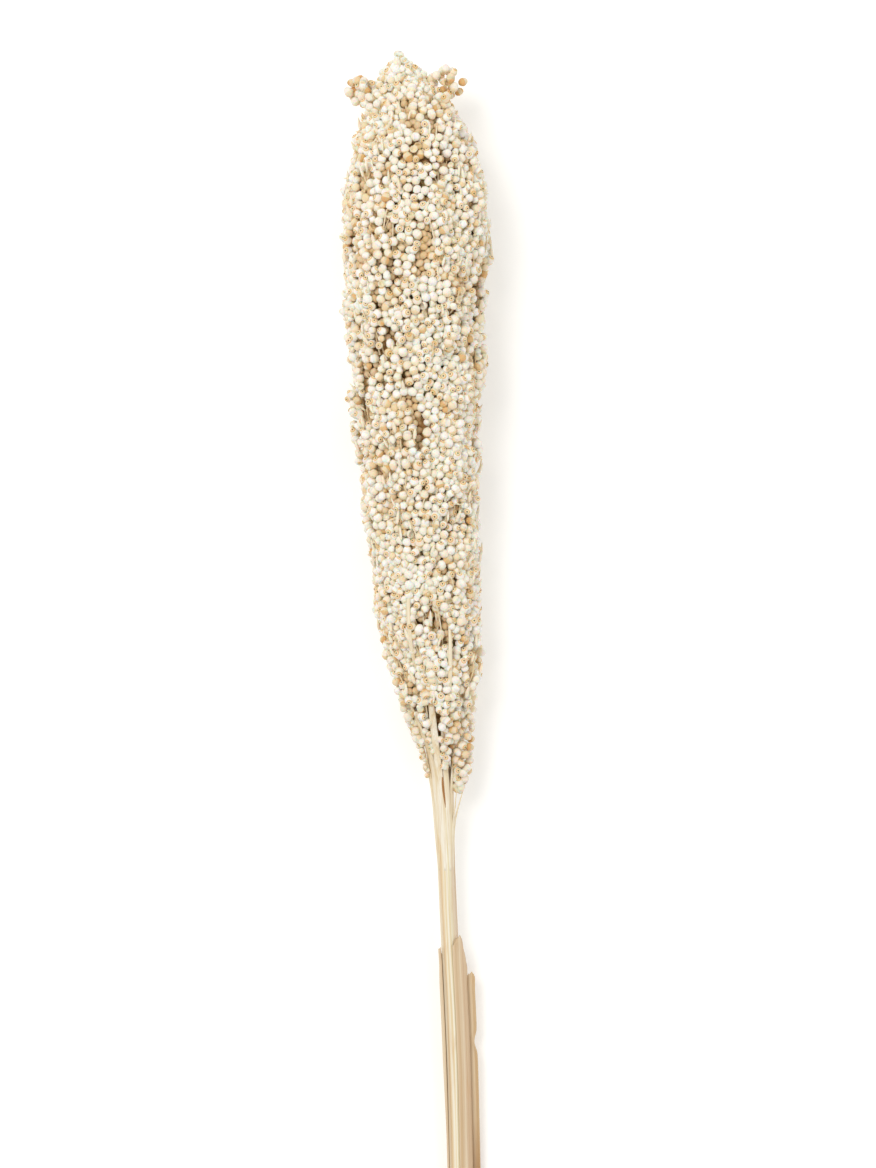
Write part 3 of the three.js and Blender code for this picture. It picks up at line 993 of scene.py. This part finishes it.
def finish_straw(name, bm, material, replaced):
    piece = finish_mesh(name, mesh_from(name, bm), material, replaced)
    store_straight_places(piece.data)
    return piece


# %% [markdown]
# ## The stalk
#
# The stalk is hard and shiny, with shallow flutes as long as itself. It thins inside the head,
# where it carries the branches. Nine flutes come from the CAD model, and finer ribs are laid over
# them.

# %% Stalk
STEM_RADIUS = 3.85
AXIS_RADIUS = 3.1
AXIS_TIP_RADIUS = 1.2
AXIS_START = 40
FLUTES = 9
FLUTE_DEPTH = 0.35
RIBS = 36
RIB_HEIGHT = 0.05
RIB_TWIST = 0.02
WANDER = 0.12
STALK_STEP = 4.6


def smoothstep(value, low, high):
    share = min(max((value - low) / (high - low), 0), 1)
    return share * share * (3 - 2 * share)


def stem_radius(from_tip):
    share = (from_tip - AXIS_START) / (HEAD_LENGTH - AXIS_START)
    axis = min(AXIS_TIP_RADIUS + (AXIS_RADIUS - AXIS_TIP_RADIUS) * share, AXIS_RADIUS)
    return axis + (STEM_RADIUS - AXIS_RADIUS) * smoothstep(from_tip, HEAD_LENGTH + 4, HEAD_LENGTH + 22)


def fluted_radius(from_tip, angle):
    flute = FLUTE_DEPTH * (math.cos(FLUTES * angle) - 1) * 0.5
    ribs = RIB_HEIGHT * math.cos(RIBS * angle + RIB_TWIST * from_tip)
    place = Vector((math.cos(angle) * 2, from_tip * 0.02, math.sin(angle) * 2))
    return stem_radius(from_tip) + flute + ribs + WANDER * noise.noise(place)


stem_places = [TOTAL_LENGTH - STALK_STEP * i for i in range(101)]
stem_bm = lofted([from_tip for from_tip in stem_places if from_tip > AXIS_START], fluted_radius)

# %% [markdown]
# Where it was cut, a stalk shows a hard rind round a white spongy pith with the ends of its fibres
# as small dots. The end face is inset by the thickness of the rind and pushed in a little, and gets
# the pith's own material.

# %% Cut end
pith_material, tree, shader = new_material("white_spongy_pith", Roughness=0.9)
place = add_node(tree, "TexCoord").outputs["Object"]
fibre_ends = add_node(tree, "TexVoronoi", {"Vector": place, "Scale": 1 / (0.7 * MM)}).outputs["Distance"]
pith = ramp(tree, fibre_ends, [(0.12, "#B98F58"), (0.24, "#EFE2C4"), (0.8, "#F6EFDD")])
tree.links.new(pith, shader.inputs["Base Color"])
add_bump(tree, shader, cloudy(tree, place, 0.3 * MM, 3.0), 0.7, 0.15 * MM)

cut_face = min(stem_bm.faces, key=lambda face: face.calc_center_median().y)
bmesh.ops.inset_region(stem_bm, faces=[cut_face], thickness=0.6 * MM, depth=0)
bmesh.ops.inset_region(stem_bm, faces=[cut_face], thickness=0.1 * MM, depth=-0.35 * MM)
cut_face.material_index = 1
stem = finish_straw("stem_straw", stem_bm, stalk_straw, "stem")
stem.data.materials.append(pith_material)

# %% [markdown]
# ## Where the stalk becomes branches
#
# The stalk swells a little at its top, and its ribs run on into the lowest branches. So the
# swelling is a sleeve with the stalk's own flutes that rises out of it without a step, and the
# branches are flat ribbons that start sunk in the sleeve. Each ribbon is a list of stations, as
# above, with an oval ring at every step between them, bridged to the next. Two short prongs stand
# in the bunch at the right, and a torn brown fibre lies on the front branch.

# %% Swelling and ribbon branches
SWELLING = [
    (300, 2.6), (306, 3.6), (312, 4.2), (320, 4.5), (330, 4.4), (340, 4.15), (350, 3.92), (358, 3.6),
]
SWELLING_STEP = 1.45
RING_STEP = 1.6
RIBBON_SIDES = 12


def swelling_radius(from_tip, angle):
    return fluted_radius(from_tip, angle) - stem_radius(from_tip) + smooth_rows(SWELLING, from_tip, 1)


swelling_places = [SWELLING[-1][0] - SWELLING_STEP * i for i in range(41)]
finish_straw(
    "foot_swelling", lofted(swelling_places, swelling_radius), stalk_straw, "seed_head"
)
TORN_EDGE = [
    [(303, 92, 6.3, 0.5, 0.3), (312, 88, 5.5, 1.1, 0.5), (320, 84, 4.9, 1.0, 0.5),
     (328, 74, 4.35, 0.3, 0.3)],
]
PRONGS = [
    [(319, 10, 9.4, 0.35, 0.35), (326, 14, 7.0, 0.8, 0.6), (333, 18, 5.0, 1.2, 0.8),
     (342, 20, 3.7, 1.3, 0.8)],
    [(318, 32, 7.6, 0.3, 0.3), (326, 30, 6.0, 0.7, 0.5), (334, 28, 4.6, 1.1, 0.7),
     (342, 26, 3.7, 1.2, 0.8)],
]


def ribbon_ring(bm, stations, at):
    degrees, distance, width, thickness = stations_at(stations, at)
    angle = math.radians(degrees)
    centre = around(at, angle, distance)
    out = outwards(angle)
    side = Vector((-math.sin(angle), 0, math.cos(angle)))
    ring = bmesh.ops.create_circle(bm, segments=RIBBON_SIDES, radius=1.0)["verts"]
    for vert in ring:
        flat = math.copysign(abs(vert.co.x) ** 0.7, vert.co.x)
        rib = 1 + 0.12 * math.cos(5 * flat)
        vert.co = centre + (side * flat * width + out * vert.co.y * rib * thickness) * 0.5 * MM
    return ring


def ribbon_mesh(name, ribbons, material):
    bm = bmesh.new()
    for stations in ribbons:
        first, last = stations[0][0], stations[-1][0]
        count = max(int((last - first) / RING_STEP), 3)
        places = [first + (last - first) * i / count for i in range(count + 1)]
        bridge_and_close(bm, [ribbon_ring(bm, stations, at) for at in places])
    bmesh.ops.recalc_face_normals(bm, faces=bm.faces)
    return finish_straw(name, bm, material, "seed_head")


ribbon_mesh("foot_ribbons", FOOT_RIBBONS, branch_straw)
ribbon_mesh("foot_prongs", PRONGS, branch_straw)
ribbon_mesh("torn_edge", TORN_EDGE, tear_brown)

# %% [markdown]
# ## Twigs
#
# Thinner branches are round. They are curves with a round section that thins towards their ends,
# turned into meshes. Many lie hidden between the grains, and every third lies on top of them, as
# stray twigs do.

# %% Twigs
TWIGS = 420
TABLE_CLEARANCE = 0.6


def twig_mesh(name, paths, thick, thin):
    curve = bpy.data.curves.new(name, "CURVE")
    curve.dimensions = "3D"
    curve.bevel_depth = MM
    curve.bevel_resolution = 1
    curve.resolution_u = 4
    curve.use_fill_caps = True
    for path in paths:
        spline = curve.splines.new("NURBS")
        spline.points.add(len(path) - 1)
        spline.order_u = 3
        spline.use_endpoint_u = True
        for i, (point, (t, angle, radius)) in enumerate(zip(spline.points, path)):
            place = around(t, angle, radius)
            point.co = (place.x, place.y, max(place.z, TABLE_CLEARANCE * MM), 1)
            point.radius = thick + (thin - thick) * i / (len(path) - 1)
    holder = bpy.data.objects.new(name, curve)
    mesh = bpy.data.meshes.new_from_object(holder)
    bpy.data.objects.remove(holder)
    store_straight_places(mesh)
    return finish_mesh(name, mesh, branch_straw, "seed_head")


twig_mesh("bunch_stalks", bunch_stems, 0.7, 0.35)

twigs = []
for i in range(TWIGS):
    from_tip = chance.between(22, 296)
    angle = chance.between(0, math.tau)
    end = max(from_tip - chance.between(8, 19), 3)
    drift = chance.spread(0.14)
    on_top = i % 3 == 0
    rise = chance.between(0.9, 2.0) if on_top else chance.between(-2.0, -0.4)
    middle = (from_tip + end) / 2
    twigs.append([
        (from_tip, angle, surface_radius(from_tip, angle) - 3.5),
        (middle, angle + drift, surface_radius(middle, angle) + rise),
        (end, angle + drift * 2, surface_radius(end, angle) + rise - chance.between(-0.6, 1.6)),
    ])
twig_mesh("fine_twigs", twigs, 0.42, 0.24)

# %% [markdown]
# ## The shaded inside
#
# Between the grains one sees into the head, where husks and twigs are brown and hardly lit. A smaller body
# stands for them: half an outline spun round the stalk's line, crumpled with noise, and bent onto the middle
# line. Its dark browns are the husks' own colour darkened with painted shade for the unlit inside.

# %% Inner body
inner_material, tree, shader = new_material("shaded_brown_husks", Roughness=0.9)
place = add_node(tree, "TexCoord").outputs["Object"]
crumbs = cloudy(tree, place, 2.0 * MM, 4.0)
# Painted shade: the inside is coloured dark brown because it lies unlit between the grains.
painted_shade_browns = ramp(tree, crumbs, [(0.3, "#6F4C2A"), (0.5, "#A57C4A"), (0.7, "#CDAD7C")])
tree.links.new(painted_shade_browns, shader.inputs["Base Color"])

INNER_DEPTH = 7.6
INNER_START = 8
INNER_END = COVER_LENGTH - 2
INNER_STEP = 4
INNER_LOWEST = 2.5
profile = [(0, INNER_START)]
for from_tip in range(INNER_START + INNER_STEP, INNER_END, INNER_STEP):
    profile.append((max(head_radius(from_tip) - INNER_DEPTH, 1.0), from_tip))
profile.append((0, INNER_END))
inner_bm = spin_outline([(radius, REST_FROM_TIP - t, 0) for radius, t in profile], (0, 1, 0), 48)
for vert in inner_bm.verts:
    middle = middle_at(REST_FROM_TIP - vert.co.y) / MM
    crumple = 1 + 0.05 * noise.noise(vert.co * 0.25)
    x, z = vert.co.x * crumple + middle.x, vert.co.z * crumple + middle.z
    vert.co = Vector((x, vert.co.y, max(z, INNER_LOWEST))) * MM
bmesh.ops.recalc_face_normals(inner_bm, faces=inner_bm.faces)
inner_mesh = mesh_from("shaded_inner_husks", inner_bm)
finish_mesh("shaded_inner_husks", inner_mesh, inner_material, "seed_head")

# %% [markdown]
# ## The leaf sheaths
#
# A grass leaf starts as a tube that wraps the stalk. Here it has dried, split along the front and
# torn off at the top. A flat grid is rolled round the stalk: one direction becomes the turn, the
# other the length. Its top edge follows the tear, its veins are raised by a cosine, and a Solidify
# step gives the paper its thickness. The tables give, by the share of the turn, where the edge is
# torn and how far the paper stands off. A nick is (from the tip, depth).

# %% Leaf sheaths
PAPER_THICKNESS = 0.3
PAPER_GAP = 0.2
VEIN_HEIGHT = 0.05
CURL = 0.3
NICK_LENGTH = 3.5


def sheath(name, degrees, top, lift, radius, grid, material, replaced, nick=(0, 0)):
    bm = bmesh.new()
    bmesh.ops.create_grid(bm, x_segments=grid[0], y_segments=grid[1], size=1)
    for vert in bm.verts:
        share, rise = (vert.co.x + 1) / 2, (vert.co.y + 1) / 2
        tear = smooth_rows(top, share, 1) + 1.3 * noise.noise(Vector((share * 14, 0, 3)))
        tear += 0.8 * noise.noise(Vector((share * 60, 5, 0)))
        from_tip = TOTAL_LENGTH - (TOTAL_LENGTH - tear) * rise
        nicked = nick[1] * bell(from_tip, nick[0], NICK_LENGTH)
        angle = math.radians(degrees[0] + (degrees[1] - degrees[0]) * share)
        ripple = 0.06 * noise.noise(Vector((angle * 9, from_tip * 0.03, 1)))
        vein = VEIN_HEIGHT * math.cos(angle * 30) + ripple
        curl = CURL * smoothstep(rise, 0.93, 1) * (1 + noise.noise(Vector((share * 9, 2, 2))))
        opened = smoothstep(rise, 0.2, 0.6) - 0.6 * smoothstep(rise, 0.85, 1) if share < 0.2 else 1
        lifted = max(smooth_rows(lift, share, 1), 0) * opened * (1 - nicked)
        vert.co = around(from_tip, angle, radius + lifted + PAPER_GAP + vein + curl)
    bmesh.ops.recalc_face_normals(bm, faces=bm.faces)
    bmesh.ops.solidify(bm, geom=bm.faces[:], thickness=PAPER_THICKNESS * MM)
    bmesh.ops.recalc_face_normals(bm, faces=bm.faces)
    return finish_straw(name, bm, material, replaced)


sheath(
    "leaf_sheath_paper",
    degrees=(152, 436),
    top=[(0, 387), (0.3, 391), (0.7, 399), (0.84, 383), (1, 387)],
    lift=[(0, 0.2), (0.05, 0.75), (0.12, 0.8), (0.25, 0.1), (0.55, 0.1), (0.72, 2.1), (0.85, 0.8), (1, 0.05)],
    radius=STEM_RADIUS + 0.1,
    grid=(110, 64),
    material=leaf_paper,
    replaced="leaf_sheath",
)
sheath(
    "outer_sheath_paper",
    degrees=(318, 356),
    top=[(0, 411), (0.4, 403), (0.58, 400.2), (0.76, 399.4), (0.92, 399.4), (1, 401)],
    lift=[(0, 0), (0.35, 0.6), (1, 4.6)],
    radius=STEM_RADIUS + 1.1,
    grid=(36, 90),
    material=outer_leaf_paper,
    replaced="outer_sheath",
    nick=(429, 0.27),
)

# %% [markdown]
# ## Table and light
#
# The table is plain and almost white, and it glows a little, as a lit paper sweep does. A large
# soft light from the upper left draws the grains, a weaker one fills the other side, and a white
# sky lifts the shadows.

# %% Table and light
floor_material, _, _ = new_material(
    "white_paper_sweep",
    Roughness=0.9,
    Base_Color=colour("#F4F4F3"),
    Emission_Color=colour("#FFFFFF"),
    Emission_Strength=0.21,
)
floor_bm = bmesh.new()
bmesh.ops.create_grid(floor_bm, x_segments=1, y_segments=1, size=3)
floor_mesh = mesh_from("floor", floor_bm)
floor_mesh.materials.append(floor_material)
floor = new_object("floor", floor_mesh)


def soft_light(name, place, size, power, tint_hex):
    light = new_object(name, bpy.data.lights.new(name, "AREA"))
    light.data.size = size
    light.data.energy = power
    light.data.color = colour(tint_hex)[:3]
    light.location = place
    light.rotation_euler = (-Vector(place)).to_track_quat("-Z", "Y").to_euler()


soft_light("key_light", (-0.75, 0.8, 1.9), 1.0, 21, "#FFFCF7")
soft_light("fill_light", (1.2, -0.5, 1.5), 1.2, 6, "#FFFDF8")
world = bpy.data.worlds.new("white_sky")
bpy.context.scene.world = world
world.use_nodes = True
sky = world.node_tree.nodes["Background"]
sky.inputs["Color"].default_value = colour("#FFFFFF")
sky.inputs["Strength"].default_value = 0.62
bpy.context.scene.view_settings.view_transform = "Standard"
print("pieces:", len(finished), "with", sum(finished.values()), "triangles")
